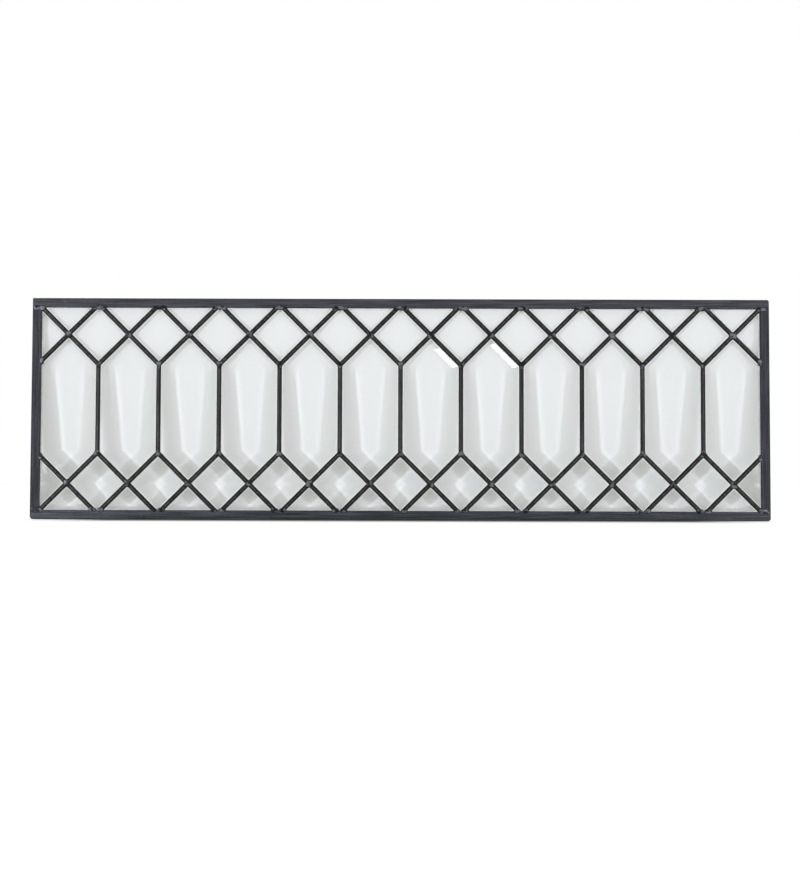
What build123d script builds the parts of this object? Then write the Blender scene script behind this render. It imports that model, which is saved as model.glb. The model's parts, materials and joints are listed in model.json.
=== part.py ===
"""A leaded transom window: bevelled glass plates held in H-section lead cames.

The panel stands upright, its front towards -Y. The origin is on the flat back face of the bottom
border came, at the middle of its length and of its width. Each came is an H in section, and the
glass lies in the channels between its flanges.
"""

import os

from build123d import *

# Lattice: tall six-sided panes between two rows of crossings, one crossing to a bay
bays = 12
bay_pitch = 83.3
straight_height = 122.0

# Lattice came: rounded outside, thick at the crown and thin at the lip
came_width = 6.35
came_heart = 1.6
came_crown = 1.3
came_lip = 0.5

# Border came: flat outside, with its edges eased
border_width = 13.2
border_heart = 1.6
border_flange = 1.6
border_edge_radius = 0.5

# The panel's corners are rounded by hand, the top left one least
top_left_radius = 1.2
top_right_radius = 3.5
bottom_radius = 4.8

# Corner solder: a low bead across each seam of the border, sloping down all round its edge
bead_width = 4.6
bead_height = 0.3
bead_corner = 1.4
bead_slope_width = 1.2
bead_slope_drop = 0.2

# Every came has a channel of one height, so that the glass lies in one plane
channel_height = 3.6

# Glass plate, ground to a bevel all round its front
plate_thickness = 4.8
bevel_width = 10.0

# Clearances: glass edge to lattice heart, glass edge to border heart, glass face to flange
lattice_play = 0.4
border_play = 2.0
bed_clearance = 0.15

# The lattice lines are the centre lines of the cames, and the outermost lie inside the border
glass_inset = came_heart / 2 + lattice_play
border_heart_line = border_width / 2
lattice_inset = border_heart_line + border_heart / 2 + border_play - glass_inset
panel_width = bays * bay_pitch + 2 * lattice_inset
panel_height = 2 * bay_pitch + straight_height + 2 * lattice_inset

# The bevel passes the lip of the border flange at the greatest thickness the channel takes
border_lap = border_width - border_heart_line - border_heart / 2 - border_play
lapped_share = border_lap / bevel_width
lip_thickness = channel_height - 2 * bed_clearance
glass_edge_thickness = (lip_thickness - lapped_share * plate_thickness) / (1 - lapped_share)
bevel_drop = plate_thickness - glass_edge_thickness

# Depths are measured forward from the back face
panel_thickness = 2 * border_flange + channel_height
channel_middle = panel_thickness / 2
glass_bed = border_flange + bed_clearance

# Heights, with the bottom border came centred on the origin
bottom_edge = -border_heart_line
top_edge = bottom_edge + panel_height
middle_height = (bottom_edge + top_edge) / 2
top_line = top_edge - lattice_inset
upper_crossing_line = top_line - bay_pitch / 2
upper_valley_line = top_line - bay_pitch
lower_valley_line = upper_valley_line - straight_height
lower_crossing_line = lower_valley_line - bay_pitch / 2

middle_plane = Plane((0, 0, middle_height), z_dir=(0, 0, 1))


def lattice_point(x, z):
    """A point on the centre lines of the cames."""
    return Vector(x, -channel_middle, z)


def mitre(joint, own, other):
    """The plane that parts two cames which leave a joint towards own and towards other."""
    return Plane(joint, z_dir=(own - joint).normalized() - (other - joint).normalized())


def butt(joint, own):
    """The plane where a came towards own stops against the flange of a came through the joint."""
    direction = (own - joint).normalized()
    return Plane(joint + direction * (came_width / 2), z_dir=direction)


with BuildSketch() as round_came_section:
    Rectangle(came_heart, channel_height)
    with BuildLine() as flange_outline:
        seat_right = (came_width / 2, channel_height / 2)
        seat_left = (-came_width / 2, channel_height / 2)
        lip_right = (came_width / 2, channel_height / 2 + came_lip)
        lip_left = (-came_width / 2, channel_height / 2 + came_lip)
        Polyline(lip_left, seat_left, seat_right, lip_right)
        ThreePointArc(lip_right, (0, channel_height / 2 + came_crown), lip_left)
    make_face()
    mirror(about=Plane.XZ)


def lattice_came(start, end, cuts):
    """A length of round came from start to end, with its ends cut by the planes."""
    direction = (end - start).normalized()
    first_end = start - direction * came_width
    across = Vector(0, 1, 0).cross(direction)
    with BuildPart() as came:
        with BuildSketch(Plane(first_end, x_dir=across, z_dir=direction)):
            add(round_came_section.sketch)
        extrude(amount=(end - start).length + 2 * came_width)
        for cut in cuts:
            split(bisect_by=cut, keep=Keep.TOP)
    return came.part


def came_row(came):
    """One diagonal came in every bay, cut off where it meets the sight edge of the border."""
    with BuildPart() as row:
        with GridLocations(bay_pitch, bay_pitch, bays, 1):
            add(came)
        with BuildSketch(Plane.XZ):
            with Locations((0, middle_height)):
                Rectangle(panel_width - 2 * border_width, panel_height - 2 * border_width)
        extrude(amount=panel_thickness, mode=Mode.INTERSECT)
    return row.part


def long_border_came(left_radius, right_radius):
    """The top border came: an H in section over the full width, with its two outer corners rounded."""
    with BuildPart() as came:
        with BuildSketch(Plane.XZ) as flange:
            with Locations((0, top_edge)):
                Rectangle(panel_width, border_width, align=(Align.CENTER, Align.MAX))
            left_corner, right_corner = flange.vertices().group_by(Axis.Y)[-1].sort_by(Axis.X)
            fillet(left_corner, radius=left_radius)
            fillet(right_corner, radius=right_radius)
        extrude(amount=border_flange)
        with BuildSketch(Plane.XZ.offset(border_flange)):
            with Locations((0, top_edge - border_heart_line)):
                Rectangle(panel_width, border_heart)
        extrude(amount=channel_height)
        with BuildSketch(Plane.XZ.offset(border_flange + channel_height)):
            add(flange.sketch_local)
        extrude(amount=border_flange)
        fillet(came.faces().sort_by(Axis.Y)[0].edges(), radius=border_edge_radius)
        fillet(came.faces().sort_by(Axis.Y)[-1].edges(), radius=border_edge_radius)
    return came.part


def bevelled_plate(*corners):
    """A plate that fills one cell of the lattice, between the lattice lines through its corners."""
    with BuildPart() as plate:
        with BuildSketch(Plane.XZ.offset(glass_bed)):
            with BuildLine():
                Polyline(*corners, close=True)
            make_face()
            offset(amount=-glass_inset, kind=Kind.INTERSECTION, mode=Mode.REPLACE)
        extrude(amount=plate_thickness)
        front = plate.faces().sort_by(Axis.Y)[0]
        chamfer(front.edges(), length=bevel_width, length2=bevel_drop, reference=front)
    return plate.part


def plate_row(plate, count):
    """Like plates side by side, one to a bay pitch."""
    with BuildPart() as row:
        with GridLocations(bay_pitch, bay_pitch, count, 1):
            add(plate)
    return row.part


def mirrored(piece):
    """The like piece in the other half of the panel's height."""
    with BuildPart() as copy:
        mirror(piece, about=middle_plane)
    return copy.part


def placed_along(piece, x):
    """A copy of a piece modelled at the panel's centre line, moved sideways to x."""
    with BuildPart() as copy:
        with Locations((x, 0, 0)):
            add(piece)
    return copy.part


pieces = {}

# Border cames at the top and the bottom, over the full width
pieces["border_came_top"] = long_border_came(top_left_radius, top_right_radius)
pieces["border_came_bottom"] = mirrored(long_border_came(bottom_radius, bottom_radius))

# Right border came: the same section, butted between the sight edges of the top and bottom ones
with BuildPart() as border_came_right:
    with BuildSketch(Plane.XZ) as flange:
        with Locations((panel_width / 2, middle_height)):
            Rectangle(border_width, panel_height - 2 * border_width, align=(Align.MAX, Align.CENTER))
    extrude(amount=border_flange)
    with BuildSketch(Plane.XZ.offset(border_flange)):
        with Locations((panel_width / 2 - border_heart_line, middle_height)):
            Rectangle(border_heart, panel_height - 2 * border_width)
    extrude(amount=channel_height)
    with BuildSketch(Plane.XZ.offset(border_flange + channel_height)):
        add(flange.sketch_local)
    extrude(amount=border_flange)
    fillet(border_came_right.faces().sort_by(Axis.Y)[0].edges().filter_by(Axis.Z), radius=border_edge_radius)
    fillet(border_came_right.faces().sort_by(Axis.Y)[-1].edges().filter_by(Axis.Z), radius=border_edge_radius)
with BuildPart() as border_came_left:
    mirror(border_came_right.part, about=Plane.YZ)
pieces["border_came_right"] = border_came_right.part
pieces["border_came_left"] = border_came_left.part

# Corner solder: one bead on the front of each side came's end, half of it on the came it butts
with BuildPart() as corner_solder:
    with BuildSketch(Plane.XZ.offset(panel_thickness)) as bead_outlines:
        with Locations((0, middle_height)):
            with GridLocations(panel_width - border_width, panel_height - 2 * border_width, 2, 2):
                Rectangle(border_width - 2 * border_edge_radius, bead_width)
        chamfer(bead_outlines.vertices(), length=bead_corner)
    extrude(amount=bead_height)
    for top in corner_solder.faces().filter_by(Axis.Y).group_by(Axis.Y)[0]:
        chamfer(top.edges(), length=bead_slope_width, length2=bead_slope_drop, reference=top)
pieces["corner_solder"] = corner_solder.part

# The joints of one bay that stands at the panel's centre line
top_left = lattice_point(-bay_pitch / 2, top_line)
top_right = lattice_point(bay_pitch / 2, top_line)
crossing = lattice_point(0, upper_crossing_line)
left_valley = lattice_point(-bay_pitch / 2, upper_valley_line)
right_valley = lattice_point(bay_pitch / 2, upper_valley_line)

# Through diagonal: from the top down across the crossing to the valley on the right
next_crossing = lattice_point(bay_pitch, upper_crossing_line)
below_right_valley = lattice_point(bay_pitch / 2, lower_valley_line)
through_came = lattice_came(
    top_left,
    right_valley,
    [mitre(right_valley, crossing, next_crossing), mitre(right_valley, crossing, below_right_valley)],
)

# Outer short diagonal: from the through came up to the top
outer_came = lattice_came(crossing, top_right, [butt(crossing, top_right)])

# Inner short diagonal: from the through came down to the valley on the left
previous_crossing = lattice_point(-bay_pitch, upper_crossing_line)
below_left_valley = lattice_point(-bay_pitch / 2, lower_valley_line)
inner_came = lattice_came(
    crossing,
    left_valley,
    [
        butt(crossing, left_valley),
        mitre(left_valley, crossing, previous_crossing),
        mitre(left_valley, crossing, below_left_valley),
    ],
)

for kind, came in (("through", through_came), ("outer", outer_came), ("inner", inner_came)):
    upper_row = came_row(came)
    pieces[f"upper_{kind}_cames"] = upper_row
    pieces[f"lower_{kind}_cames"] = mirrored(upper_row)

# Vertical came: from valley to valley, pointed at both ends between the two diagonals there
upper_valley = lattice_point(0, upper_valley_line)
lower_valley = lattice_point(0, lower_valley_line)
vertical_came = lattice_came(
    upper_valley,
    lower_valley,
    [
        mitre(upper_valley, lower_valley, lattice_point(-bay_pitch / 2, upper_crossing_line)),
        mitre(upper_valley, lower_valley, lattice_point(bay_pitch / 2, upper_crossing_line)),
        mitre(lower_valley, upper_valley, lattice_point(-bay_pitch / 2, lower_crossing_line)),
        mitre(lower_valley, upper_valley, lattice_point(bay_pitch / 2, lower_crossing_line)),
    ],
)
for number in range(1, bays):
    pieces[f"vertical_came_{number:02d}"] = placed_along(vertical_came, bay_pitch * (number - bays / 2))

# Tall pane: six-sided, its points at the upper and the lower crossing of one bay
tall_bevel = bevelled_plate(
    (0, upper_crossing_line),
    (bay_pitch / 2, upper_valley_line),
    (bay_pitch / 2, lower_valley_line),
    (0, lower_crossing_line),
    (-bay_pitch / 2, lower_valley_line),
    (-bay_pitch / 2, upper_valley_line),
)
for number in range(1, bays + 1):
    pieces[f"tall_bevel_{number:02d}"] = placed_along(tall_bevel, bay_pitch * (number - (bays + 1) / 2))

# Square pane: set on its point, between the crossings of two neighbouring bays
square_bevel = bevelled_plate(
    (0, top_line),
    (bay_pitch / 2, upper_crossing_line),
    (0, upper_valley_line),
    (-bay_pitch / 2, upper_crossing_line),
)
pieces["upper_square_bevels"] = plate_row(square_bevel, bays - 1)
pieces["lower_square_bevels"] = mirrored(pieces["upper_square_bevels"])

# Triangular pane: its long side in the border came and its point at the crossing of one bay
edge_bevel = bevelled_plate(
    (-bay_pitch / 2, top_line),
    (bay_pitch / 2, top_line),
    (0, upper_crossing_line),
)
pieces["upper_edge_bevels"] = plate_row(edge_bevel, bays)
pieces["lower_edge_bevels"] = mirrored(pieces["upper_edge_bevels"])

# End panes: the same triangle turned, its long side in the border came at the end of each row
end_line = bays * bay_pitch / 2
end_bevel = bevelled_plate(
    (end_line, top_line),
    (end_line, upper_valley_line),
    (end_line - bay_pitch / 2, upper_crossing_line),
)
with BuildPart() as right_edge_bevels:
    add(end_bevel)
    mirror(end_bevel, about=middle_plane)
with BuildPart() as left_edge_bevels:
    mirror(right_edge_bevels.part, about=Plane.YZ)
pieces["right_edge_bevels"] = right_edge_bevels.part
pieces["left_edge_bevels"] = left_edge_bevels.part

os.makedirs("parts", exist_ok=True)
for name, piece in pieces.items():
    piece.label = name
    export_step(piece, f"parts/{name}.step")
print(f"panel {panel_width:.1f} x {panel_height:.1f} mm, glass edge {glass_edge_thickness:.2f} mm")
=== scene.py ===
import json
import math
import random

import bmesh
import bpy
from mathutils import Matrix, Vector

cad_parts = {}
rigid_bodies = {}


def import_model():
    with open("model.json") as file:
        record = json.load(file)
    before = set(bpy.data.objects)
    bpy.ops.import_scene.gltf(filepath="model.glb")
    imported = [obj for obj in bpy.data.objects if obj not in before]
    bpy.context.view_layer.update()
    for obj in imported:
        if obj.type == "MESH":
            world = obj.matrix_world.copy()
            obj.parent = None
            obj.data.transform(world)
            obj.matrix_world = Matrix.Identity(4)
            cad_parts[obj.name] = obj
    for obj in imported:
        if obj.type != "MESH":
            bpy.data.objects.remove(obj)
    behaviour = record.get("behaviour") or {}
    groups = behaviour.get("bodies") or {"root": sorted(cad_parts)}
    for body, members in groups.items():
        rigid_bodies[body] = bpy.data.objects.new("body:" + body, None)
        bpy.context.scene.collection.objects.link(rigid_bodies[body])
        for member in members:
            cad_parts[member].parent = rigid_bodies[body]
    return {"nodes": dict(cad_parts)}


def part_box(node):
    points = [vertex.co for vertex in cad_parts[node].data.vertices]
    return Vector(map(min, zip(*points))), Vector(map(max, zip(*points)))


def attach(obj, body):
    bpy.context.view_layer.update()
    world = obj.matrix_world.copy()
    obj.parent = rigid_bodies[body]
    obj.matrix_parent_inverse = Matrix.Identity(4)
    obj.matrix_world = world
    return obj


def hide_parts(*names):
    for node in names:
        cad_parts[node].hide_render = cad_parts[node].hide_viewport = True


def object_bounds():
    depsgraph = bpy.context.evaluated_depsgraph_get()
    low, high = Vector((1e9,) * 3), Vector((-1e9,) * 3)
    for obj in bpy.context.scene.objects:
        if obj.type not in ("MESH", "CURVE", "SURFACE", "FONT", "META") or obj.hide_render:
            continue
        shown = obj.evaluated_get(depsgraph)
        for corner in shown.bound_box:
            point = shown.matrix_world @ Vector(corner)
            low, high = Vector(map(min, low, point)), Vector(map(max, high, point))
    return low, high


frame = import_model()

# The bounds of the panel as it comes from the maker.
cad_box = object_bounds()
nodes = frame["nodes"]


# Bevelled plates
# Clear plate glass, about 5 mm thick, cut to the cells of the lattice and ground, then polished,
# to a wide bevel all round the front. Old plate is faintly green and never quite flat.

# The lattice's measures, taken from the first two upright cames
first_upright_low, first_upright_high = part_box("vertical_came_01")
second_upright_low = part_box("vertical_came_02")[0]
bay_pitch = second_upright_low.x - first_upright_low.x
came_width = first_upright_high.x - first_upright_low.x
lower_valley_height = first_upright_low.z
upper_valley_height = first_upright_high.z
outer_line = first_upright_low.x + came_width / 2 - bay_pitch
crossing_rise = bay_pitch / 2


def shader_node(tree, kind, inputs=None, **settings):
    """Adds a node with its settings. Each input is given a value, or a socket to take it from."""
    added = tree.nodes.new(kind)
    for setting, value in settings.items():
        setattr(added, setting, value)
    for socket, value in (inputs or {}).items():
        if isinstance(value, bpy.types.NodeSocket):
            tree.links.new(value, added.inputs[socket])
        else:
            added.inputs[socket].default_value = value
    return added


def from_nearest_came(tree, place):
    """The distance in the panel's plane from the nearest line of the lattice, as a socket."""

    def step(operation, first, second=0.0):
        sum_node = shader_node(tree, "ShaderNodeMath", {0: first, 1: second}, operation=operation)
        return sum_node.outputs["Value"]

    # How far a point is from the nearest joint line, and how far beyond the nearest row of valleys
    spot = shader_node(tree, "ShaderNodeSeparateXYZ", {"Vector": place.outputs["Object"]})
    aside = step("PINGPONG", step("SUBTRACT", spot.outputs["X"], outer_line), crossing_rise)
    above = step("SUBTRACT", spot.outputs["Z"], upper_valley_height)
    below = step("SUBTRACT", lower_valley_height, spot.outputs["Z"])
    beyond = step("MAXIMUM", above, below)
    # The diagonals turn back where they cross, half a bay beyond the valleys
    diagonal_reach = step("MINIMUM", beyond, step("PINGPONG", beyond, crossing_rise))
    from_diagonal = step("ABSOLUTE", step("SUBTRACT", diagonal_reach, aside))
    from_diagonal = step("MULTIPLY", from_diagonal, math.sqrt(0.5))
    # Past its ends an upright soon counts as far away
    from_upright = step("ADD", aside, step("MULTIPLY", step("MAXIMUM", beyond), 3.0))
    return step("MINIMUM", from_diagonal, from_upright)


greenest_glass = (0.958, 0.966, 0.964)
clearest_glass = (0.966, 0.972, 0.970)
most_haze = 0.05
ridge_rounding = 0.0008
# The share of the lamps' light that flat glass, the lower bevels and the upper bevels pass straight on
flat_passes = 0.965
low_bevel_passes = 0.22
high_bevel_passes = 0.93
low_bevels_below = 0.185
high_bevels_above = 0.216
# The light that a bevel bends gathers in a strip inside its ridge, strongest at the ridge
ridge_distance = 0.0112
gathering_width = 0.009
gathering_strength = 0.72
plate_middle = -0.004
flat_squareness = 0.985


def clear_glass(name):
    """Polished plate glass: a slow ripple, a faint haze in patches, and light let through for lamps."""
    material = bpy.data.materials.new(name)
    material.use_nodes = True
    tree = material.node_tree
    tree.nodes.clear()
    place = shader_node(tree, "ShaderNodeTexCoord")
    ripple = shader_node(
        tree,
        "ShaderNodeTexNoise",
        {"Vector": place.outputs["Object"], "Scale": 22.0, "Detail": 2.0, "Roughness": 0.4},
    )
    ridge = shader_node(tree, "ShaderNodeBevel", {"Radius": ridge_rounding}, samples=6)
    bump = shader_node(
        tree,
        "ShaderNodeBump",
        {
            "Height": ripple.outputs["Fac"],
            "Strength": 0.5,
            "Distance": 0.0006,
            "Normal": ridge.outputs["Normal"],
        },
    )
    haze = shader_node(
        tree,
        "ShaderNodeTexNoise",
        {"Vector": place.outputs["Object"], "Scale": 60.0, "Detail": 5.0, "Roughness": 0.6},
    )
    polish = shader_node(
        tree,
        "ShaderNodeMapRange",
        {
            "Value": haze.outputs["Fac"],
            "From Min": 0.45,
            "From Max": 0.75,
            "To Min": 0.0,
            "To Max": most_haze,
        },
    )
    tint = shader_node(
        tree,
        "ShaderNodeMix",
        {
            "Factor": ripple.outputs["Fac"],
            "A": greenest_glass + (1,),
            "B": clearest_glass + (1,),
        },
        data_type="RGBA",
    )
    glass = shader_node(
        tree,
        "ShaderNodeBsdfPrincipled",
        {
            "Base Color": tint.outputs["Result"],
            "Roughness": polish.outputs["Result"],
            "IOR": 1.52,
            "Transmission Weight": 1.0,
            "Normal": bump.outputs["Normal"],
        },
    )
    # Lamp light that falls on a bevel is bent inwards. Low down, where the paper stands off, it lands
    # inside the ridge. At the top, where the paper touches the glass, it has hardly moved.
    path = shader_node(tree, "ShaderNodeLightPath")
    facing = shader_node(tree, "ShaderNodeSeparateXYZ", {"Vector": place.outputs["Normal"]})
    squareness = shader_node(tree, "ShaderNodeMath", {0: facing.outputs["Y"]}, operation="ABSOLUTE")
    on_bevel = shader_node(
        tree,
        "ShaderNodeMath",
        {0: squareness.outputs["Value"], 1: flat_squareness},
        operation="LESS_THAN",
    )
    thrown_aside = shader_node(
        tree,
        "ShaderNodeMath",
        {0: on_bevel.outputs["Value"], 1: path.outputs["Is Shadow Ray"]},
        operation="MULTIPLY",
    )
    spot = shader_node(tree, "ShaderNodeSeparateXYZ", {"Vector": place.outputs["Object"]})
    straight_on = shader_node(
        tree,
        "ShaderNodeMapRange",
        {
            "Value": spot.outputs["Z"],
            "From Min": low_bevels_below,
            "From Max": high_bevels_above,
            "To Min": low_bevel_passes,
            "To Max": high_bevel_passes,
        },
        interpolation_type="SMOOTHSTEP",
    )
    bent = shader_node(
        tree,
        "ShaderNodeMath",
        {0: 1.0, 1: straight_on.outputs["Result"]},
        operation="SUBTRACT",
    )
    inside_ridge = shader_node(
        tree,
        "ShaderNodeMapRange",
        {
            "Value": from_nearest_came(tree, place),
            "From Min": ridge_distance,
            "From Max": ridge_distance + gathering_width,
            "To Min": gathering_strength,
            "To Max": 0.0,
        },
        interpolation_type="SMOOTHSTEP",
    )
    at_front = shader_node(
        tree,
        "ShaderNodeMath",
        {0: spot.outputs["Y"], 1: plate_middle},
        operation="LESS_THAN",
    )
    front_lamp_light = shader_node(
        tree,
        "ShaderNodeMath",
        {0: at_front.outputs["Value"], 1: path.outputs["Is Shadow Ray"]},
        operation="MULTIPLY",
    )
    gathering = shader_node(
        tree,
        "ShaderNodeMath",
        {0: front_lamp_light.outputs["Value"], 1: bent.outputs["Value"]},
        operation="MULTIPLY",
    )
    gathered = shader_node(
        tree,
        "ShaderNodeMath",
        {0: inside_ridge.outputs["Result"], 1: gathering.outputs["Value"], 2: flat_passes},
        operation="MULTIPLY_ADD",
    )
    passed = shader_node(
        tree,
        "ShaderNodeMix",
        {
            "Factor": thrown_aside.outputs["Value"],
            "A": gathered.outputs["Value"],
            "B": straight_on.outputs["Result"],
        },
        data_type="RGBA",
    )
    straight = shader_node(tree, "ShaderNodeBsdfTransparent", {"Color": passed.outputs["Result"]})
    unbent = shader_node(
        tree,
        "ShaderNodeMath",
        {0: path.outputs["Is Shadow Ray"], 1: path.outputs["Is Diffuse Ray"]},
        operation="MAXIMUM",
    )
    either = shader_node(
        tree,
        "ShaderNodeMixShader",
        {"Fac": unbent.outputs["Value"], 1: glass.outputs["BSDF"], 2: straight.outputs["BSDF"]},
    )
    shader_node(tree, "ShaderNodeOutputMaterial", {"Surface": either.outputs["Shader"]})
    return material


def finish_node(name, material):
    """Gives a piece of the frame its finish."""
    slots = nodes[name].data.materials
    for index in range(len(slots)):
        slots[index] = material


plate_glass = clear_glass("bevel_glass")
for name in nodes:
    if "bevel" in name:
        finish_node(name, plate_glass)


# Lattice cames
# Lengths of quarter-inch round lead came, an H in section, drawn through rollers and cut to fit
# round the plates. Under a dark patina the crown has a painted sheen, with rubbed specks, and the lead
# is softly dented.

front_crown = first_upright_low.y
back_crown = first_upright_high.y
clouding = 0.28


def lead_finish(name, run, dark, light, crown_low, crown_high, speck_share, roughness):
    """Patinated lead, dark, with a painted sheen where its crown faces front or back, and rubbed specks.

    run is how far the came's length is turned from level, in degrees. crown_low and crown_high are how
    squarely the lead faces front or back where the painted sheen starts and where it is full. speck_share
    is how far single specks are rubbed.
    """
    material = bpy.data.materials.new(name)
    material.use_nodes = True
    tree = material.node_tree
    tree.nodes.clear()
    place = shader_node(tree, "ShaderNodeTexCoord")
    # Along the came, through it and across it
    turned = shader_node(
        tree,
        "ShaderNodeMapping",
        {"Vector": place.outputs["Object"], "Rotation": (0, math.radians(run), 0)},
    )
    stretched = shader_node(
        tree,
        "ShaderNodeMapping",
        {"Vector": turned.outputs["Vector"], "Scale": (18, 250, 900)},
    )
    draw_lines = shader_node(
        tree,
        "ShaderNodeTexNoise",
        {"Vector": stretched.outputs["Vector"], "Scale": 1.0, "Detail": 3.0, "Roughness": 0.55},
    )
    dents = shader_node(
        tree,
        "ShaderNodeTexNoise",
        {"Vector": place.outputs["Object"], "Scale": 130.0, "Detail": 2.0, "Roughness": 0.5},
    )
    mottle = shader_node(
        tree,
        "ShaderNodeTexNoise",
        {"Vector": place.outputs["Object"], "Scale": 420.0, "Detail": 5.0, "Roughness": 0.65},
    )
    cloud = shader_node(
        tree,
        "ShaderNodeTexNoise",
        {"Vector": place.outputs["Object"], "Scale": 28.0, "Detail": 3.0, "Roughness": 0.5},
    )
    facing = shader_node(tree, "ShaderNodeSeparateXYZ", {"Vector": place.outputs["Normal"]})
    squareness = shader_node(tree, "ShaderNodeMath", {0: facing.outputs["Y"]}, operation="ABSOLUTE")
    crown = shader_node(
        tree,
        "ShaderNodeMapRange",
        {"Value": squareness.outputs["Value"], "From Min": crown_low, "From Max": crown_high},
        interpolation_type="SMOOTHSTEP",
    )
    # Painted sheen on the crown, broken up by the draw lines, and rubbed specks from the mottle
    worn_lines = shader_node(
        tree,
        "ShaderNodeMapRange",
        {"Value": draw_lines.outputs["Fac"], "From Min": 0.38, "From Max": 0.66},
    )
    crown_sheen_in_lines = shader_node(
        tree,
        "ShaderNodeMath",
        {0: crown.outputs["Result"], 1: worn_lines.outputs["Result"]},
        operation="MULTIPLY",
    )
    specks = shader_node(
        tree,
        "ShaderNodeMapRange",
        {
            "Value": mottle.outputs["Fac"],
            "From Min": 0.60,
            "From Max": 0.72,
            "To Max": speck_share,
        },
    )
    crown_specks = shader_node(
        tree,
        "ShaderNodeMath",
        {0: specks.outputs["Result"], 1: crown.outputs["Result"]},
        operation="MULTIPLY",
    )
    sheen_and_rubbing = shader_node(
        tree,
        "ShaderNodeMath",
        {0: crown_sheen_in_lines.outputs["Value"], 1: crown_specks.outputs["Value"]},
        operation="ADD",
        use_clamp=True,
    )
    shaded_dark = shader_node(
        tree,
        "ShaderNodeMix",
        {
            "Factor": cloud.outputs["Fac"],
            "A": tuple((1 - clouding) * part for part in dark) + (1,),
            "B": tuple((1 + clouding) * part for part in dark) + (1,),
        },
        data_type="RGBA",
    )
    colour = shader_node(
        tree,
        "ShaderNodeMix",
        {
            "Factor": sheen_and_rubbing.outputs["Value"],
            "A": shaded_dark.outputs["Result"],
            "B": light + (1,),
        },
        data_type="RGBA",
    )
    dullness = shader_node(
        tree,
        "ShaderNodeMapRange",
        {
            "Value": mottle.outputs["Fac"],
            "From Min": 0.3,
            "From Max": 0.7,
            "To Min": roughness + 0.1,
            "To Max": roughness - 0.1,
        },
    )
    dented = shader_node(
        tree,
        "ShaderNodeBump",
        {"Height": dents.outputs["Fac"], "Strength": 0.6, "Distance": 0.0007},
    )
    grained = shader_node(
        tree,
        "ShaderNodeBump",
        {
            "Height": mottle.outputs["Fac"],
            "Strength": 0.5,
            "Distance": 0.0002,
            "Normal": dented.outputs["Normal"],
        },
    )
    lined = shader_node(
        tree,
        "ShaderNodeBump",
        {
            "Height": draw_lines.outputs["Fac"],
            "Strength": 0.35,
            "Distance": 0.0002,
            "Normal": grained.outputs["Normal"],
        },
    )
    lead = shader_node(
        tree,
        "ShaderNodeBsdfPrincipled",
        {
            "Base Color": colour.outputs["Result"],
            "Metallic": 0.5,
            "Specular IOR Level": 0.3,
            "Roughness": dullness.outputs["Result"],
            "Normal": lined.outputs["Normal"],
        },
    )
    shader_node(tree, "ShaderNodeOutputMaterial", {"Surface": lead.outputs["BSDF"]})
    return material


# The darker colour is the patina; the lighter one is the painted sheen on the crown and its rubbed specks
lattice_dark = (0.006, 0.006, 0.0065)
lattice_sheen = (0.06, 0.06, 0.062)
upright_lead, falling_lead, rising_lead = (
    lead_finish(
        f"lattice_lead_{way}",
        run,
        lattice_dark,
        lattice_sheen,
        crown_low=0.965,
        crown_high=1.0,
        speck_share=0.9,
        roughness=0.42,
    )
    for way, run in (("upright", 90), ("falling", 45), ("rising", -45))
)
for name in nodes:
    if name.startswith("vertical_came"):
        finish_node(name, upright_lead)
    elif name.endswith("cames"):
        falls = (name.startswith("upper") and "through" in name) or (
            name.startswith("lower") and "through" not in name
        )
        finish_node(name, falling_lead if falls else rising_lead)


# Border cames
# Half-inch flat lead came all round: long ones along the top and the bottom, and short ones butted
# between them at the sides. The patina is bluer here, with a painted sheen in lengthwise streaks on the
# flat face. The long ones' corners are filed round by hand, each by a different amount.

panel_low, panel_high = cad_box
middle_height = (panel_low.z + panel_high.z) / 2
# The darker colour is the patina; the lighter one is the painted sheen on the flat face
border_dark = (0.022, 0.022, 0.027)
border_sheen = (0.07, 0.07, 0.083)
level_border_lead = lead_finish(
    "border_lead_level",
    0,
    border_dark,
    border_sheen,
    crown_low=0.9,
    crown_high=0.99,
    speck_share=0.5,
    roughness=0.45,
)
# The upright borders take a darker copy of the same lead: painted shade
shaded_side_dark = (0.015, 0.015, 0.019)
shaded_side_sheen = (0.05, 0.05, 0.06)
shaded_upright_border_lead = lead_finish(
    "border_lead_upright",
    90,
    shaded_side_dark,
    shaded_side_sheen,
    crown_low=0.9,
    crown_high=0.99,
    speck_share=0.5,
    roughness=0.5,
)
for side in ("left", "right"):
    finish_node(f"border_came_{side}", shaded_upright_border_lead)


def pick(where):
    """Selects the vertices of the mesh in edit mode that where is true for."""
    bpy.ops.mesh.select_all(action="DESELECT")
    mesh = bmesh.from_edit_mesh(bpy.context.object.data)
    for vertex in mesh.verts:
        vertex.select = where(vertex.co)
    mesh.select_flush_mode()
    bmesh.update_edit_mesh(bpy.context.object.data)


def select_only(piece):
    """Makes one piece the only one that operators act on."""
    bpy.ops.object.select_all(action="DESELECT")
    piece.select_set(True)
    bpy.context.view_layer.objects.active = piece


# What is left of a corner is what lies in a block the size of the panel with that corner rounded. The
# block is a hair longer and taller than the panel, so that it trims nothing else, and thicker.
block_spare = Vector((0.00004, 0.002, 0.00004))


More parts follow.
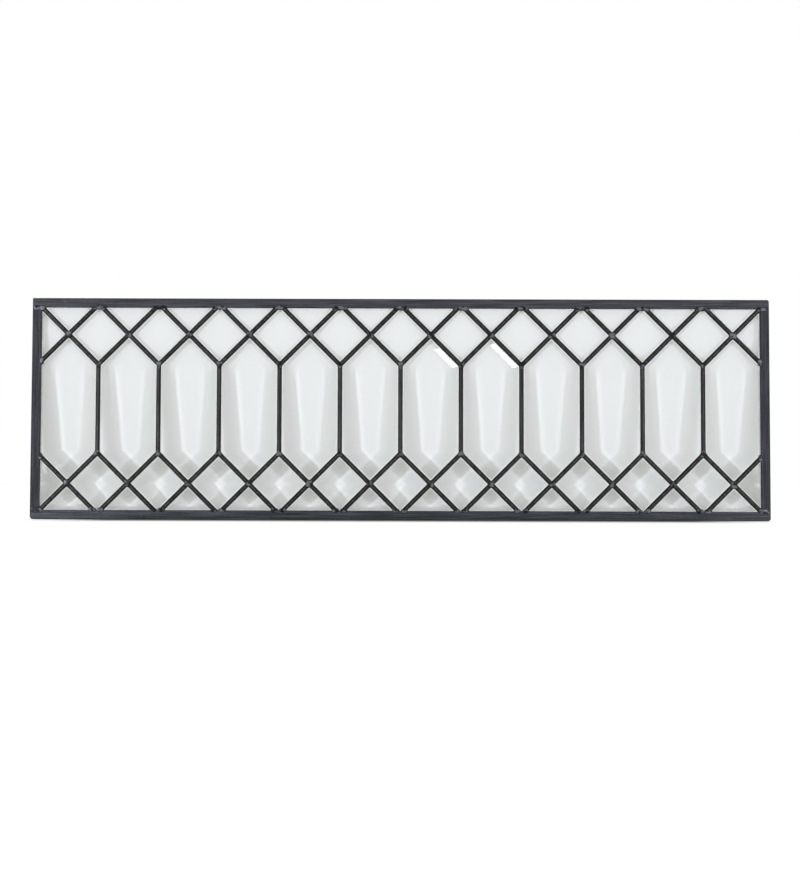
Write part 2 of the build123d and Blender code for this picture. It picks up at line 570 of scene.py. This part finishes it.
def with_round_corner(side, radius, name):
    """A copy of the long came at the top or the bottom, with its right outer corner filed round."""
    came = bpy.data.objects.new(name, nodes[f"border_came_{side}"].data.copy())
    came.data.name = name
    bpy.context.scene.collection.objects.link(came)
    select_only(came)
    bpy.ops.object.mode_set(mode="EDIT")
    bpy.ops.mesh.select_all(action="SELECT")
    bpy.ops.mesh.remove_doubles(threshold=0.00001)
    bpy.ops.object.mode_set(mode="OBJECT")
    bpy.ops.object.select_all(action="DESELECT")
    bpy.ops.mesh.primitive_cube_add(size=1, location=(panel_low + panel_high) / 2)
    block = bpy.context.object
    block.scale = panel_high - panel_low + block_spare
    bpy.ops.object.transform_apply(location=True, rotation=True, scale=True)
    bpy.ops.object.mode_set(mode="EDIT")
    outwards = 1 if side == "top" else -1
    pick(lambda place: place.x > 0 and outwards * (place.z - middle_height) > 0)
    bpy.ops.mesh.bevel(offset=radius, segments=8)
    bpy.ops.object.mode_set(mode="OBJECT")
    filed = came.modifiers.new("filed", "BOOLEAN")
    filed.operation = "INTERSECT"
    filed.solver = "EXACT"
    filed.object = block
    select_only(came)
    bpy.ops.object.modifier_apply(modifier="filed")
    bpy.data.objects.remove(block)
    bpy.ops.object.shade_smooth_by_angle(angle=math.radians(20))
    return came


for side, radius in (("top", 0.0035), ("bottom", 0.0048)):
    came = with_round_corner(side, radius, f"filed_came_{side}")
    came.data.materials.clear()
    came.data.materials.append(level_border_lead)
    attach(came, "root")
    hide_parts(f"border_came_{side}")


# Solder pools
# Tin and lead solder, melted over each place where cames cross, meet or end on the border, front and
# back. A pool freezes low and rounded, runs a little way along each came and fills the corners.

side_low, side_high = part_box("border_came_left")
border_width = side_high.x - side_low.x
border_front = side_low.y
top_line = upper_valley_height + bay_pitch
bottom_line = lower_valley_height - bay_pitch
sight_top = panel_high.z - border_width
sight_bottom = panel_low.z + border_width
sight_side = side_high.x
lip_lap = sight_side - outer_line
joint_lines = [outer_line + bay_pitch * step for step in range(1, 12)]
bay_middles = [outer_line + bay_pitch * (step + 0.5) for step in range(12)]
# Between its arms a pool draws in to a waist, a little wider than the came and never nearly its reach
rim_points = 24
waist_to_came = 0.55
waist_to_reach = 0.9


def solder_pool(reach, arms, rings):
    """A pool centred on the origin, flat against XZ, that runs along the cames.

    arms are the ways the cames run, in degrees from +X. rings are heights along Y, from the hidden foot
    to the crown, each with the share of the outline that the pool has there.
    """
    towards = 1 if rings[-1][0] > rings[0][0] else -1
    bpy.ops.object.select_all(action="DESELECT")
    bpy.ops.mesh.primitive_circle_add(
        vertices=rim_points,
        radius=reach,
        fill_type="NGON",
        location=(0, rings[0][0], 0),
        rotation=(-towards * math.pi / 2, 0, 0),
    )
    pool = bpy.context.object
    bpy.ops.object.transform_apply(location=True, rotation=True, scale=True)
    bpy.ops.object.mode_set(mode="EDIT")
    sorted_arms = sorted(arms)
    for step in range(rim_points):
        way = 360 / rim_points * step
        before = max((arm for arm in sorted_arms if arm <= way), default=sorted_arms[-1] - 360)
        after = min((arm for arm in sorted_arms if arm > way), default=sorted_arms[0] + 360)
        half_gap = (after - before) / 2
        off_arm = min(way - before, after - way)
        half_width = waist_to_came * came_width
        waist = min(half_width / math.sin(math.radians(min(half_gap, 90))), waist_to_reach * reach)
        radius = waist + (reach - waist) * math.cos(math.radians(90 * off_arm / half_gap)) ** 2
        rim = Vector((math.cos(math.radians(way)), 0, math.sin(math.radians(way)))) * reach
        pick(lambda place: math.hypot(place.x - rim.x, place.z - rim.z) < 0.02 * reach)
        share = radius / reach
        bpy.ops.transform.resize(value=(share, 1, share), center_override=(0, 0, 0))
    bpy.ops.mesh.select_all(action="SELECT")
    for (low, low_share), (high, high_share) in zip(rings, rings[1:]):
        bpy.ops.mesh.extrude_region_move(TRANSFORM_OT_translate={"value": (0, high - low, 0)})
        share = high_share / low_share
        bpy.ops.transform.resize(value=(share, 1, share), center_override=(0, 0, 0))
    bpy.ops.mesh.select_all(action="SELECT")
    bpy.ops.mesh.normals_make_consistent(inside=False)
    bpy.ops.object.mode_set(mode="OBJECT")
    return pool


turn_by_wobble = 0.5
shift_by_wobble = 0.002


def copy_to(master, spots, wobble=0.0):
    """Copies a piece to each spot (x, z), each copy a little turned, sized and shifted by wobble."""
    copies = []
    for x, z in spots:
        piece = master.copy()
        piece.data = master.data.copy()
        bpy.context.scene.collection.objects.link(piece)
        turn, wide, tall, aside, up = (random.uniform(-wobble, wobble) for number in range(5))
        piece.data.transform(
            Matrix.Translation((x + shift_by_wobble * aside, 0, z + shift_by_wobble * up))
            @ Matrix.Rotation(turn_by_wobble * turn, 4, "Y")
            @ Matrix.Diagonal((1 + wide, 1, 1 + tall, 1))
        )
        copies.append(piece)
    bpy.data.objects.remove(master)
    return copies


def joined(name, pieces):
    """Joins pieces into one mesh, which takes the name."""
    bpy.ops.object.select_all(action="DESELECT")
    for piece in pieces:
        piece.select_set(True)
    bpy.context.view_layer.objects.active = pieces[0]
    bpy.ops.object.join()
    whole = bpy.context.object
    whole.name = name
    whole.data.name = name
    return whole


def melted(piece, lump_height):
    """Rounds a piece as melted metal sets, with low lumps that differ from place to place."""
    select_only(piece)
    rounded = piece.modifiers.new("rounded", "SUBSURF")
    rounded.levels = rounded.render_levels = 1
    lumps = piece.modifiers.new("lumps", "DISPLACE")
    lumps.texture = bpy.data.textures.new("lumps", "CLOUDS")
    lumps.texture.noise_scale = 0.0035
    lumps.texture_coords = "LOCAL"
    lumps.strength = lump_height
    lumps.mid_level = 0.6
    for modifier in ("rounded", "lumps"):
        bpy.ops.object.modifier_apply(modifier=modifier)
    bpy.ops.object.shade_smooth()


def solder_finish(name, patina, bright, bare_from):
    """Solder under a dark patina, with a painted sheen on the crown where it faces square on, in patches
    where the patina is rubbed thin.

    bare_from is the noise above which the patina is rubbed off.
    """
    material = bpy.data.materials.new(name)
    material.use_nodes = True
    tree = material.node_tree
    tree.nodes.clear()
    place = shader_node(tree, "ShaderNodeTexCoord")
    grains = shader_node(
        tree,
        "ShaderNodeTexNoise",
        {"Vector": place.outputs["Object"], "Scale": 900.0, "Detail": 4.0, "Roughness": 0.6},
    )
    patches = shader_node(
        tree,
        "ShaderNodeTexNoise",
        {"Vector": place.outputs["Object"], "Scale": 170.0, "Detail": 1.0, "Roughness": 0.4},
    )
    facing = shader_node(tree, "ShaderNodeSeparateXYZ", {"Vector": place.outputs["Normal"]})
    squareness = shader_node(tree, "ShaderNodeMath", {0: facing.outputs["Y"]}, operation="ABSOLUTE")
    crown = shader_node(
        tree,
        "ShaderNodeMapRange",
        {"Value": squareness.outputs["Value"], "From Min": 0.975, "From Max": 1.0},
        interpolation_type="SMOOTHSTEP",
    )
    thin_patina = shader_node(
        tree,
        "ShaderNodeMapRange",
        {"Value": patches.outputs["Fac"], "From Min": bare_from, "From Max": bare_from + 0.2},
    )
    sheen_and_rubbing = shader_node(
        tree,
        "ShaderNodeMath",
        {0: crown.outputs["Result"], 1: thin_patina.outputs["Result"]},
        operation="MULTIPLY",
    )
    colour = shader_node(
        tree,
        "ShaderNodeMix",
        {"Factor": sheen_and_rubbing.outputs["Value"], "A": patina + (1,), "B": bright + (1,)},
        data_type="RGBA",
    )
    dullness = shader_node(
        tree,
        "ShaderNodeMapRange",
        {"Value": grains.outputs["Fac"], "From Min": 0.3, "From Max": 0.7, "To Min": 0.28, "To Max": 0.5},
    )
    grainy = shader_node(
        tree,
        "ShaderNodeBump",
        {"Height": grains.outputs["Fac"], "Strength": 0.4, "Distance": 0.00015},
    )
    pitted = shader_node(
        tree,
        "ShaderNodeBump",
        {
            "Height": patches.outputs["Fac"],
            "Strength": 0.3,
            "Distance": 0.0006,
            "Normal": grainy.outputs["Normal"],
        },
    )
    solder = shader_node(
        tree,
        "ShaderNodeBsdfPrincipled",
        {
            "Base Color": colour.outputs["Result"],
            "Metallic": 0.8,
            "Roughness": dullness.outputs["Result"],
            "Normal": pitted.outputs["Normal"],
        },
    )
    shader_node(tree, "ShaderNodeOutputMaterial", {"Surface": solder.outputs["BSDF"]})
    return material


random.seed(12)
solder_patina = (0.008, 0.008, 0.0085)
# The bare colour shows where the patina is rubbed thin, and carries the painted sheen on the crown
bare_solder_and_sheen = (0.12, 0.122, 0.13)
solder_metal = solder_finish("solder", solder_patina, bare_solder_and_sheen, bare_from=0.42)
border_back = panel_high.y
crossings = [(x, z) for x in bay_middles for z in (top_line - crossing_rise, bottom_line + crossing_rise)]
lattice_joints = (
    ((45, 135, 225, 315), crossings),
    ((45, 135, 270), [(x, upper_valley_height) for x in joint_lines]),
    ((90, 225, 315), [(x, lower_valley_height) for x in joint_lines]),
)
end_step = 1.15 * lip_lap
border_joints = (
    ((0, 180, 225), [(x - end_step, sight_top) for x in joint_lines]),
    ((0, 180, 315), [(x + end_step, sight_top) for x in joint_lines]),
    ((0, 135, 180), [(x - end_step, sight_bottom) for x in joint_lines]),
    ((0, 45, 180), [(x + end_step, sight_bottom) for x in joint_lines]),
    ((45, 90, 270), [(sight_side, upper_valley_height + lip_lap)]),
    ((90, 270, 315), [(sight_side, lower_valley_height - lip_lap)]),
    ((90, 135, 270), [(-sight_side, upper_valley_height + lip_lap)]),
    ((90, 225, 270), [(-sight_side, lower_valley_height - lip_lap)]),
    ((0, 270, 315), [(sight_side, sight_top)]),
    ((180, 225, 270), [(-sight_side, sight_top)]),
    ((0, 45, 90), [(sight_side, sight_bottom)]),
    ((90, 135, 180), [(-sight_side, sight_bottom)]),
)
bridges = [(x, sight_top + 0.0010) for x in joint_lines]
crossing_reach = 0.007
border_reach = 0.0054
bridge_reach = 0.0052
for side, crown, face, out in (
    ("front", front_crown, border_front, -1),
    ("back", back_crown, border_back, 1),
):
    # A pool's foot is sunk in the lead, and its crown stands a quarter of a millimetre above it
    foot = crown - out * 0.0016
    lattice_rings = (
        (foot, 1.0),
        (crown - out * 0.0002, 0.98),
        (crown + out * 0.00012, 0.8),
        (crown + out * 0.00027, 0.48),
    )
    # At the back the border lies flat in its bed, so there no pool stands above it
    border_top = face + (out * 0.00022 if side == "front" else -0.00004)
    border_rings = (
        (foot, 1.0),
        (border_top - out * 0.00034, 0.98),
        (border_top - out * 0.0001, 0.8),
        (border_top, 0.48),
    )
    pools = []
    for reach, joints, rings in (
        (crossing_reach, lattice_joints, lattice_rings),
        (border_reach, border_joints, border_rings),
    ):
        for arms, spots in joints:
            pools += copy_to(solder_pool(reach, arms, rings), spots, wobble=0.12)
    pools += copy_to(solder_pool(bridge_reach, (0, 180), border_rings), bridges, wobble=0.1)
    solder = joined(f"{side}_solder", pools)
    melted(solder, lump_height=0.0001)
    solder.data.materials.append(solder_metal)
    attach(solder, "root")


# Corner seams
# At each corner the side came butts against the long one. One uneven bead of solder crosses the
# seam on the front, from the outer edge to the sight edge.

seam_middle = (side_low.x + side_high.x) / 2
seam_rings = (
    (border_front + 0.0004, 1.0),
    (border_front - 0.00006, 0.97),
    (border_front - 0.00017, 0.78),
    (border_front - 0.00024, 0.42),
)
seam_spots = [(x, z) for x in (seam_middle, -seam_middle) for z in (sight_top, sight_bottom)]
seam_length = border_width - 0.0012
seam_patina = (0.018, 0.018, 0.021)
# The bare colour shows where the patina is rubbed thin, and carries the painted sheen on the crown
bare_seam_and_sheen = (0.17, 0.17, 0.18)
seams = joined(
    "corner_seams",
    copy_to(solder_pool(seam_length / 2, (0, 180), seam_rings), seam_spots, wobble=0.05),
)
melted(seams, lump_height=0.00008)
seams.data.materials.append(solder_finish("seam_solder", seam_patina, bare_seam_and_sheen, bare_from=0.53))
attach(seams, "root")
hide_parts("corner_solder")


# Glazing cement
# Chalk and linseed oil, brushed in under the lips of the cames and left as a fine pale bead along
# every edge of a plate, where it sets hard and holds the glass still.

# How far a bead reaches over the glass, the slope it lies on, and the places along Y of the glass and
# of the cames' lips, at the front and at the back
bead_reach = 0.0011
glass_at_lip = -0.00458
bevel_slope = math.radians(13.6)
front_lip_height = -0.00528
back_glass = -0.00178
back_lip_height = -0.00142
tip_reach = crossing_rise - lip_lap
up, down, left, right = (Vector(way) for way in ((0, 0, 1), (0, 0, -1), (-1, 0, 0), (1, 0, 0)))


def cement_bead(is_tall, border_way, border_distance, lip, glass, inside, on_lip):
    """A closed bead round one pane that stands about the origin, triangular in section.

    lip is from the lattice line to the came's edge. glass and inside are the heights of its foot along
    the lip and on the plate, and on_lip that of its top.
    """
    bpy.ops.object.select_all(action="DESELECT")
    bpy.ops.mesh.primitive_circle_add(
        vertices=6 if is_tall else 4,
        radius=crossing_rise / math.cos(math.pi / 6) if is_tall else crossing_rise,
        fill_type="NGON",
        location=(0, glass, 0),
        rotation=(math.pi / 2, 0, 0),
    )
    bead = bpy.context.object
    bpy.ops.object.transform_apply(location=True, rotation=True, scale=True)
    bpy.ops.object.mode_set(mode="EDIT")
    if is_tall:
        bpy.ops.transform.resize(value=(1, 1, math.sqrt(3)), center_override=(0, 0, 0))
        straight = (upper_valley_height - lower_valley_height) / 2 - crossing_rise
        for way in (1, -1):
            pick(lambda place: place.z * way > 0)
            bpy.ops.transform.translate(value=(0, 0, way * straight))
    bpy.ops.mesh.select_all(action="SELECT")
    bpy.ops.mesh.inset(thickness=lip)
    bpy.ops.mesh.select_all(action="INVERT")
    bpy.ops.mesh.delete(type="VERT")
    if border_way is not None:
        bpy.ops.mesh.select_all(action="SELECT")
        bpy.ops.mesh.bisect(
            plane_co=border_way * border_distance,
            plane_no=border_way,
            clear_outer=True,
        )
    # Each side is divided, so that the bead can be uneven along it
    bpy.ops.mesh.select_all(action="SELECT")
    bpy.ops.mesh.delete(type="ONLY_FACE")
    bpy.ops.mesh.select_all(action="SELECT")
    bpy.ops.mesh.subdivide(number_cuts=11)
    bpy.ops.mesh.edge_face_add()
    bpy.ops.mesh.inset(thickness=bead_reach)
    bpy.ops.transform.translate(value=(0, inside - glass, 0))
    bpy.ops.mesh.delete(type="ONLY_FACE")
    pick(lambda place: abs(place.y - glass) < 1e-6)
    bpy.ops.mesh.extrude_edges_move(TRANSFORM_OT_translate={"value": (0, on_lip - glass, 0)})
    pick(lambda place: abs(place.y - glass) > 1e-6)
    bpy.ops.mesh.bridge_edge_loops()
    bpy.ops.mesh.select_all(action="SELECT")
    bpy.ops.mesh.normals_make_consistent(inside=False)
    bpy.ops.object.mode_set(mode="OBJECT")
    return bead


def cement_finish(name, pale, dusty):
    """Set cement: matt and chalky, pale where it is clean and darker where dust has caught."""
    material = bpy.data.materials.new(name)
    material.use_nodes = True
    tree = material.node_tree
    tree.nodes.clear()
    place = shader_node(tree, "ShaderNodeTexCoord")
    dust = shader_node(
        tree,
        "ShaderNodeTexNoise",
        {"Vector": place.outputs["Object"], "Scale": 90.0, "Detail": 4.0, "Roughness": 0.6},
    )
    grit = shader_node(
        tree,
        "ShaderNodeTexNoise",
        {"Vector": place.outputs["Object"], "Scale": 1500.0, "Detail": 3.0, "Roughness": 0.6},
    )
    share = shader_node(
        tree,
        "ShaderNodeMapRange",
        {"Value": dust.outputs["Fac"], "From Min": 0.4, "From Max": 0.65},
    )
    colour = shader_node(
        tree,
        "ShaderNodeMix",
        {"Factor": share.outputs["Result"], "A": pale + (1,), "B": dusty + (1,)},
        data_type="RGBA",
    )
    dullness = shader_node(
        tree,
        "ShaderNodeMapRange",
        {"Value": grit.outputs["Fac"], "From Min": 0.3, "From Max": 0.7, "To Min": 0.85, "To Max": 0.98},
    )
    gritty = shader_node(
        tree,
        "ShaderNodeBump",
        {"Height": grit.outputs["Fac"], "Strength": 0.5, "Distance": 0.0001},
    )
    cement = shader_node(
        tree,
        "ShaderNodeBsdfPrincipled",
        {
            "Base Color": colour.outputs["Result"],
            "Roughness": dullness.outputs["Result"],
            "Normal": gritty.outputs["Normal"],
        },
    )
    shader_node(tree, "ShaderNodeOutputMaterial", {"Surface": cement.outputs["BSDF"]})
    return material


# Each kind of pane, with the border came that cuts it, how far off, and the middles of its panes
pane_kinds = (
    (True, None, 0, [(x, middle_height) for x in bay_middles[1:-1]]),
    (True, left, tip_reach, [(bay_middles[0], middle_height)]),
    (True, right, tip_reach, [(bay_middles[-1], middle_height)]),
    (False, up, tip_reach, [(x, top_line - crossing_rise) for x in joint_lines]),
    (False, down, tip_reach, [(x, bottom_line + crossing_rise) for x in joint_lines]),
    (False, up, -lip_lap, [(x, top_line) for x in bay_middles]),
    (False, down, -lip_lap, [(x, bottom_line) for x in bay_middles]),
    (False, left, -lip_lap, [(outer_line, z) for x, z in crossings[:2]]),
    (False, right, -lip_lap, [(-outer_line, z) for x, z in crossings[:2]]),
)
clean_cement = (0.96, 0.96, 0.95)
dusty_cement = (0.82, 0.81, 0.78)
set_cement = cement_finish("glazing_cement", clean_cement, dusty_cement)
for side, glass, inside, on_lip in (
    ("front", glass_at_lip, glass_at_lip - bead_reach * math.tan(bevel_slope), front_lip_height),
    ("back", back_glass, back_glass + 0.00001, back_lip_height),
):
    beads = []
    for is_tall, border_way, border_distance, spots in pane_kinds:
        bead = cement_bead(is_tall, border_way, border_distance, came_width / 2, glass, inside, on_lip)
        beads += copy_to(bead, spots)
    cement = joined(f"{side}_cement", beads)
    select_only(cement)
    uneven = cement.modifiers.new("uneven", "DISPLACE")
    uneven.texture = bpy.data.textures.new("uneven", "CLOUDS")
    uneven.texture.noise_scale = 0.005
    uneven.texture_coords = "LOCAL"
    uneven.strength = 0.0004
    uneven.mid_level = 0.55
    bpy.ops.object.modifier_apply(modifier="uneven")
    cement.data.materials.append(set_cement)
    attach(cement, "root")


# Scene
# A pale floor with a painted shade close under the panel, and a sheet of white paper behind it, which
# touches the glass at the top and bellies out lower down. Far soft lamps stand in front and nearer ones
# behind, and the camera looks nearly straight on, a little from below the middle.


def white_where_seen(tree, shown, hidden):
    """Shows one shader to the camera, in its reflections and through glass, and the other elsewhere."""
    path = shader_node(tree, "ShaderNodeLightPath")
    seen = shader_node(
        tree,
        "ShaderNodeMath",
        {0: path.outputs["Is Camera Ray"], 1: path.outputs["Is Glossy Ray"]},
        operation="MAXIMUM",
    )
    seen_through = shader_node(
        tree,
        "ShaderNodeMath",
        {0: seen.outputs["Value"], 1: path.outputs["Is Transmission Ray"]},
        operation="MAXIMUM",
    )
    return shader_node(
        tree,
        "ShaderNodeMixShader",
        {"Fac": seen_through.outputs["Value"], 1: hidden, 2: shown},
    )


world = bpy.data.worlds.new("studio")
world.use_nodes = True
world.node_tree.nodes.clear()
ambient = shader_node(
    world.node_tree,
    "ShaderNodeBackground",
    {"Color": (0.985, 1, 0.945, 1), "Strength": 0.71},
)
white = shader_node(world.node_tree, "ShaderNodeBackground", {"Color": (1, 1, 1, 1), "Strength": 1.0})
# Through the glass the room is white straight ahead and darker towards its sides, floor and ceiling
room_edge = 0.6
way = shader_node(world.node_tree, "ShaderNodeTexCoord")
way_parts = shader_node(world.node_tree, "ShaderNodeSeparateXYZ", {"Vector": way.outputs["Generated"]})
sideways = shader_node(
    world.node_tree,
    "ShaderNodeMath",
    {0: way_parts.outputs["X"]},
    operation="ABSOLUTE",
)
upwards = shader_node(
    world.node_tree,
    "ShaderNodeMath",
    {0: way_parts.outputs["Z"]},
    operation="ABSOLUTE",
)
off_middle = shader_node(
    world.node_tree,
    "ShaderNodeMath",
    {0: sideways.outputs["Value"], 1: upwards.outputs["Value"]},
    operation="MAXIMUM",
)
room_light = shader_node(
    world.node_tree,
    "ShaderNodeMapRange",
    {"Value": off_middle.outputs["Value"], "From Max": 0.5, "To Min": 1.0, "To Max": room_edge},
)
room = shader_node(
    world.node_tree,
    "ShaderNodeBackground",
    {"Color": (1, 1, 1, 1), "Strength": room_light.outputs["Result"]},
)
world_path = shader_node(world.node_tree, "ShaderNodeLightPath")
white_or_room = shader_node(
    world.node_tree,
    "ShaderNodeMixShader",
    {
        "Fac": world_path.outputs["Is Transmission Ray"],
        1: white.outputs["Background"],
        2: room.outputs["Background"],
    },
)
backdrop = white_where_seen(
    world.node_tree, white_or_room.outputs["Shader"], ambient.outputs["Background"]
)
shader_node(world.node_tree, "ShaderNodeOutputWorld", {"Surface": backdrop.outputs["Shader"]})
world.cycles.sampling_method = "NONE"
bpy.context.scene.world = world

# The painted shade under the panel: how far it reaches in front and behind, and where it ends at the sides
shade_from = 0.01
shade_to = 0.09
shade_ends_from = 0.40
shade_ends_to = 0.50
open_floor = (0.8, 0.8, 0.8)
shaded_floor = (0.18, 0.18, 0.18)
open_glow = 0.5
shaded_glow = 0.05
bpy.ops.object.select_all(action="DESELECT")
bpy.ops.mesh.primitive_plane_add(size=12, location=(0, 0, panel_low.z))
floor = bpy.context.object
floor.name = "floor"
floor_paint = bpy.data.materials.new("pale_floor")
floor_paint.use_nodes = True
floor_paint.node_tree.nodes.clear()
floor_place = shader_node(floor_paint.node_tree, "ShaderNodeTexCoord")
floor_spot = shader_node(
    floor_paint.node_tree,
    "ShaderNodeSeparateXYZ",
    {"Vector": floor_place.outputs["Object"]},
)
from_panel = shader_node(
    floor_paint.node_tree,
    "ShaderNodeMath",
    {0: floor_spot.outputs["Y"]},
    operation="ABSOLUTE",
)
close_by = shader_node(
    floor_paint.node_tree,
    "ShaderNodeMapRange",
    {
        "Value": from_panel.outputs["Value"],
        "From Min": shade_from,
        "From Max": shade_to,
        "To Min": 1,
        "To Max": 0,
    },
    interpolation_type="SMOOTHSTEP",
)
from_middle = shader_node(
    floor_paint.node_tree,
    "ShaderNodeMath",
    {0: floor_spot.outputs["X"]},
    operation="ABSOLUTE",
)
within_ends = shader_node(
    floor_paint.node_tree,
    "ShaderNodeMapRange",
    {
        "Value": from_middle.outputs["Value"],
        "From Min": shade_ends_from,
        "From Max": shade_ends_to,
        "To Min": 1,
        "To Max": 0,
    },
)
shaded = shader_node(
    floor_paint.node_tree,
    "ShaderNodeMath",
    {0: close_by.outputs["Result"], 1: within_ends.outputs["Result"]},
    operation="MULTIPLY",
)
floor_colour = shader_node(
    floor_paint.node_tree,
    "ShaderNodeMix",
    {"Factor": shaded.outputs["Value"], "A": open_floor + (1,), "B": shaded_floor + (1,)},
    data_type="RGBA",
)
lift_strength = shader_node(
    floor_paint.node_tree,
    "ShaderNodeMapRange",
    {"Value": shaded.outputs["Value"], "To Min": open_glow, "To Max": shaded_glow},
)
matt = shader_node(
    floor_paint.node_tree,
    "ShaderNodeBsdfDiffuse",
    {"Color": floor_colour.outputs["Result"]},
)
lift = shader_node(
    floor_paint.node_tree,
    "ShaderNodeEmission",
    {"Color": (1, 1, 1, 1), "Strength": lift_strength.outputs["Result"]},
)
lifted = shader_node(
    floor_paint.node_tree,
    "ShaderNodeAddShader",
    {0: matt.outputs["BSDF"], 1: lift.outputs["Emission"]},
)
floor_look = white_where_seen(floor_paint.node_tree, lifted.outputs["Shader"], matt.outputs["BSDF"])
shader_node(floor_paint.node_tree, "ShaderNodeOutputMaterial", {"Surface": floor_look.outputs["Shader"]})
floor.data.materials.append(floor_paint)

# The paper is a grid, of which each row is moved back by as much as the paper bellies out there
paper_touch = 0.0004
paper_belly = 0.038
bpy.ops.object.select_all(action="DESELECT")
bpy.ops.mesh.primitive_grid_add(
    x_subdivisions=2,
    y_subdivisions=24,
    size=1,
    location=(0, paper_touch, middle_height),
    rotation=(math.pi / 2, 0, 0),
)
paper_sheet = bpy.context.object
paper_sheet.name = "white_paper"
paper_sheet.scale = (1.3, panel_high.z - panel_low.z, 1)
bpy.ops.object.transform_apply(location=True, rotation=True, scale=True)
for vertex in paper_sheet.data.vertices:
    fall = min(max((panel_high.z - vertex.co.z) / (panel_high.z - panel_low.z), 0), 1)
    vertex.co.y += paper_belly * fall**1.6 * (1 - fall**5)
bpy.ops.object.shade_smooth()
paper_finish = bpy.data.materials.new("white_paper")
paper_finish.use_nodes = True
paper_finish.node_tree.nodes.clear()
paper = shader_node(paper_finish.node_tree, "ShaderNodeBsdfDiffuse", {"Color": (0.9, 0.9, 0.9, 1)})
glow = shader_node(
    paper_finish.node_tree,
    "ShaderNodeEmission",
    {"Color": (0.97, 0.99, 1.0, 1), "Strength": 0.08},
)
bright_paper = shader_node(
    paper_finish.node_tree,
    "ShaderNodeAddShader",
    {0: paper.outputs["BSDF"], 1: glow.outputs["Emission"]},
)
shader_node(paper_finish.node_tree, "ShaderNodeOutputMaterial", {"Surface": bright_paper.outputs["Shader"]})
paper_sheet.data.materials.append(paper_finish)
paper_sheet.visible_camera = False
paper_sheet.visible_glossy = False
paper_sheet.visible_diffuse = False
paper_sheet.visible_shadow = False

# The lamps stand where no polished plate mirrors them, so they light all but the plates
lit_by_lamps = bpy.data.collections.new("lit_by_lamps")
for piece in bpy.context.scene.objects:
    if piece.type == "MESH" and "bevel" not in piece.name:
        lit_by_lamps.objects.link(piece)
cool_light = (0.86, 0.92, 1.0)


def soft_lamp(name, place, target, wide, tall, power):
    """A lamp with a flat face, wide by tall, that faces its target."""
    lamp_data = bpy.data.lights.new(name, "AREA")
    lamp_data.shape = "RECTANGLE"
    lamp_data.size = wide
    lamp_data.size_y = tall
    lamp_data.energy = power
    lamp_data.color = cool_light
    lamp = bpy.data.objects.new(name, lamp_data)
    bpy.context.scene.collection.objects.link(lamp)
    lamp.location = place
    lamp.rotation_euler = (target - place).to_track_quat("-Z", "Y").to_euler()
    lamp.visible_camera = False
    lamp.visible_transmission = False
    return lamp


# The front lamps, far away so that each bay is lit alike: how far to the side, in degrees, how wide
# and how strong
front_lamps = (("left_lamp", -36, 1.25, 285.0), ("right_lamp", 36, 1.6, 190.0))
lamp_distance = 10.0
lamp_height = 0.3
panel_middle = Vector((0, 0, middle_height))
for name, turn, width, power in front_lamps:
    angle = math.radians(turn)
    place = panel_middle + lamp_distance * Vector((math.sin(angle), -math.cos(angle), 0))
    lamp = soft_lamp(name, place, panel_middle, width, lamp_height, power)
    lamp.data.specular_factor = 0.2
    lamp.light_linking.receiver_collection = lit_by_lamps

# Two lamps behind light the back of the lead alone
lit_from_behind = bpy.data.collections.new("lit_from_behind")
for piece in bpy.context.scene.objects:
    if any(word in piece.name for word in ("came", "solder", "cement")):
        lit_from_behind.objects.link(piece)
back_lamp_distance = 4
back_lamp_size = 1.2
for name, turn in (("left_back_lamp", -40), ("right_back_lamp", 40)):
    angle = math.radians(turn)
    place = panel_middle + back_lamp_distance * Vector((math.sin(angle), math.cos(angle), 0.4))
    lamp = soft_lamp(name, place, panel_middle, back_lamp_size, back_lamp_size, 60.0)
    lamp.data.specular_factor = 0.5
    lamp.light_linking.receiver_collection = lit_from_behind

# A low wide lamp, high on the right, that only the plates mirror: it fills one bevel and part of
# another
mirrored_by_plates = bpy.data.collections.new("mirrored_by_plates")
for piece in bpy.context.scene.objects:
    if piece.type == "MESH" and "bevel" in piece.name:
        mirrored_by_plates.objects.link(piece)
glint_place = Vector((0.848, -1.657, 1.060))
mirroring_bevel = Vector((0.0985, -0.0056, 0.2167))
glint = soft_lamp("glint_lamp", glint_place, mirroring_bevel, wide=0.27, tall=0.085, power=0.8)
glint.light_linking.receiver_collection = mirrored_by_plates

# The camera's place and its small turns bring the panel's four corners to where the photograph has them
camera_place = (0.0019, -1.5066, 0.0493)
camera_turn = math.radians(0.088)
camera_tilt = math.radians(90 + 2.074)
camera_roll = math.radians(0.171)
camera_data = bpy.data.cameras.new("camera")
camera_data.sensor_fit = "VERTICAL"
camera_data.sensor_height = 36
camera_data.lens = 44.69
camera = bpy.data.objects.new("camera", camera_data)
bpy.context.scene.collection.objects.link(camera)
camera.matrix_world = (
    Matrix.Translation(camera_place)
    @ Matrix.Rotation(camera_turn, 4, "Z")
    @ Matrix.Rotation(camera_tilt, 4, "X")
    @ Matrix.Rotation(camera_roll, 4, "Z")
)
bpy.context.scene.camera = camera
bpy.context.scene.view_settings.view_transform = "Standard"
